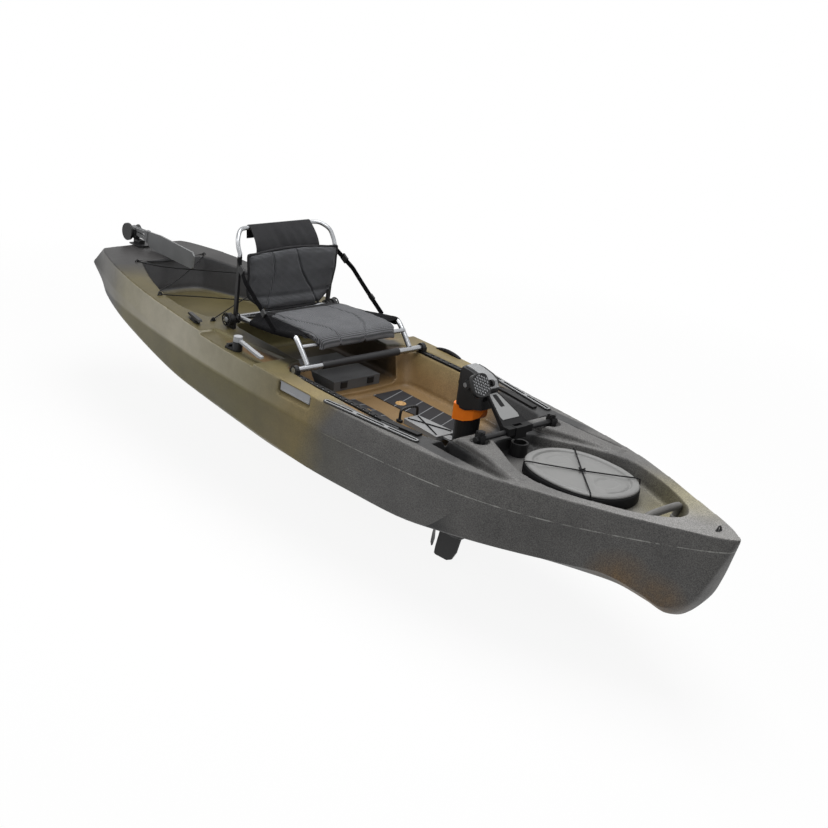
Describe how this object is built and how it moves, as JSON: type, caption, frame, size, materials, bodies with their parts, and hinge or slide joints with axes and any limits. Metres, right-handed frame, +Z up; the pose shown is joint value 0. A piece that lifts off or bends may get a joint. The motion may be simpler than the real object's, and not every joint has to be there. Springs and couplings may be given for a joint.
{
  "type": "pedal kayak",
  "caption": "Sit-on-top fishing kayak with a camouflage hull, framed mesh seat, kick-up pedal drive, folding rudder, bow hatch and open tankwell",
  "frame": {"origin": "Amidships on the flat bottom of the hull, on the centreline", "axes": "+X towards the bow, +Y towards port, +Z up"},
  "size_m": [3.741, 0.9132, 1.086],
  "materials": {
    "hull_plastic": "rotomoulded, mottled camouflage",
    "black_plastic": "moulded, fine grain",
    "grey_plastic": "moulded, fine grain",
    "orange_plastic": "smooth",
    "rubber": "grooved",
    "aluminium": "bright drawn tube",
    "steel": "turned",
    "mesh_fabric": "woven mesh with bound edges",
    "cord": "braided sleeve"
  },
  "bodies": {
    "hull": {"hull": "hull_plastic", "bow_handle": "grey_plastic", "lock_post": "black_plastic", "deck_cleat": "black_plastic", "steering_base": "black_plastic", "tank_bungee": "cord", "rudder_bracket": "black_plastic", "gear_track_starboard": "grey_plastic", "gear_track_port": "grey_plastic", "seat_rail_starboard": "black_plastic", "seat_rail_port": "black_plastic", "foot_pad_starboard": "rubber", "foot_pad_port": "rubber", "bar_clamp_starboard": "black_plastic", "bar_clamp_port": "black_plastic"},
    "lid": {"bow_lid": "grey_plastic", "lid_bungee": "cord"},
    "steering": {"steering_lever": "grey_plastic", "steering_knob": "grey_plastic"},
    "rudder_head": {"rudder_head": "black_plastic"},
    "rudder_blade": {"rudder_blade": "black_plastic"},
    "drive": {"crossbar": "black_plastic", "drive_brace": "grey_plastic", "head_casing": "black_plastic", "head_cap": "grey_plastic", "orange_band": "orange_plastic", "lower_unit": "black_plastic", "well_cover": "grey_plastic", "cover_handle": "black_plastic", "cover_bungee": "cord"},
    "crank": {"crank_spindle": "steel", "crank_arm_starboard": "black_plastic", "crank_arm_port": "black_plastic"},
    "pedal_starboard": {"pedal_starboard": "black_plastic"},
    "pedal_port": {"pedal_port": "black_plastic"},
    "shaft": {"drive_shaft": "steel"},
    "screw": {"prop_shaft": "steel", "propeller": "black_plastic"},
    "knob_starboard": {"clamp_knob_starboard": "black_plastic"},
    "knob_port": {"clamp_knob_port": "black_plastic"},
    "handle_starboard": {"carry_handle_starboard": "grey_plastic"},
    "handle_port": {"carry_handle_port": "grey_plastic"},
    "seat": {"front_bar": "aluminium", "seat_frame": "aluminium", "seat_pad": "mesh_fabric", "rail_shoe_starboard": "black_plastic", "rail_shoe_port": "black_plastic", "rear_hub_starboard": "black_plastic", "rear_hub_port": "black_plastic", "seat_strap_starboard": "mesh_fabric", "seat_strap_port": "mesh_fabric"},
    "seat_back": {"back_pad": "mesh_fabric", "head_flap": "mesh_fabric", "back_hoop": "aluminium", "back_upright_starboard": "black_plastic", "back_upright_port": "black_plastic"},
    "box": {"box_tray": "grey_plastic"},
    "box_lid": {"box_lid": "grey_plastic"},
    "latch_starboard": {"box_latch_starboard": "black_plastic"},
    "latch_port": {"box_latch_port": "black_plastic"}
  },
  "joints": [
    {"name": "lid_lift", "type": "slide", "parent": "hull", "child": "lid", "axis": [0, 0, 1], "range_m": [0, 0.1]},
    {"name": "rudder_steer", "type": "hinge", "parent": "hull", "child": "rudder_head", "pos_m": [-1.832, 0, 0.44], "axis": [0, 0, 1], "range_deg": [-20, 20]},
    {"name": "rudder_fold", "type": "hinge", "parent": "rudder_head", "child": "rudder_blade", "pos_m": [-1.868, 0, 0.454], "axis": [0, 1, 0], "range_deg": [-255, 0]},
    {"name": "steering_turn", "type": "hinge", "parent": "hull", "child": "steering", "pos_m": [-0.431, -0.398, 0.39], "axis": [0, 0, 1], "range_deg": [-30, 30]},
    {"name": "drive_kick", "type": "hinge", "parent": "hull", "child": "drive", "pos_m": [0.802, 0, 0.377], "axis": [0, 1, 0], "range_deg": [0, 31]},
    {"name": "crank_turn", "type": "hinge", "parent": "drive", "child": "crank", "pos_m": [0.565, 0, 0.485], "axis": [0, 1, 0], "continuous": true},
    {"name": "pedal_starboard_turn", "type": "hinge", "parent": "crank", "child": "pedal_starboard", "pos_m": [0.69017, -0.115, 0.53557], "axis": [0, 1, 0], "continuous": true},
    {"name": "pedal_port_turn", "type": "hinge", "parent": "crank", "child": "pedal_port", "pos_m": [0.43983, 0.115, 0.43443], "axis": [0, 1, 0], "continuous": true},
    {"name": "shaft_turn", "type": "hinge", "parent": "drive", "child": "shaft", "pos_m": [0.565, 0, 0.2], "axis": [0, 0, 1], "continuous": true},
    {"name": "screw_turn", "type": "hinge", "parent": "drive", "child": "screw", "pos_m": [0.5, 0, -0.15], "axis": [1, 0, 0], "continuous": true},
    {"name": "knob_starboard_turn", "type": "hinge", "parent": "hull", "child": "knob_starboard", "pos_m": [0.802, -0.197, 0.4], "axis": [0, 0, 1], "continuous": true},
    {"name": "knob_port_turn", "type": "hinge", "parent": "hull", "child": "knob_port", "pos_m": [0.802, 0.197, 0.4], "axis": [0, 0, 1], "continuous": true},
    {"name": "handle_starboard_turn", "type": "hinge", "parent": "hull", "child": "handle_starboard", "pos_m": [0.018, -0.4373, 0.336], "axis": [-1, 0, 0], "range_deg": [0, 90]},
    {"name": "handle_port_turn", "type": "hinge", "parent": "hull", "child": "handle_port", "pos_m": [0.018, 0.4373, 0.336], "axis": [1, 0, 0], "range_deg": [0, 90]},
    {"name": "seat_slide", "type": "slide", "parent": "hull", "child": "seat", "axis": [1, 0, 0], "range_m": [0, 0.25]},
    {"name": "back_fold", "type": "hinge", "parent": "seat", "child": "seat_back", "pos_m": [-0.645, 0, 0.401], "axis": [0, 1, 0], "range_deg": [-10, 30]},
    {"name": "box_slide", "type": "slide", "parent": "hull", "child": "box", "axis": [1, 0, 0], "range_m": [0, 0.25]},
    {"name": "box_lid_turn", "type": "hinge", "parent": "box", "child": "box_lid", "pos_m": [-0.4, 0, 0.2583], "axis": [0, -1, 0], "range_deg": [0, 14]},
    {"name": "latch_starboard_turn", "type": "hinge", "parent": "box_lid", "child": "latch_starboard", "pos_m": [-0.1047, -0.074, 0.264], "axis": [0, -1, 0], "range_deg": [0, 90]},
    {"name": "latch_port_turn", "type": "hinge", "parent": "box_lid", "child": "latch_port", "pos_m": [-0.1047, 0.074, 0.264], "axis": [0, -1, 0], "range_deg": [0, 90]}
  ],
  "couplings": [
    {"joint": "steering_turn", "follows": "rudder_steer", "ratio": 1.5},
    {"joint": "shaft_turn", "follows": "crank_turn", "ratio": 3},
    {"joint": "screw_turn", "follows": "crank_turn", "ratio": 9}
  ]
}
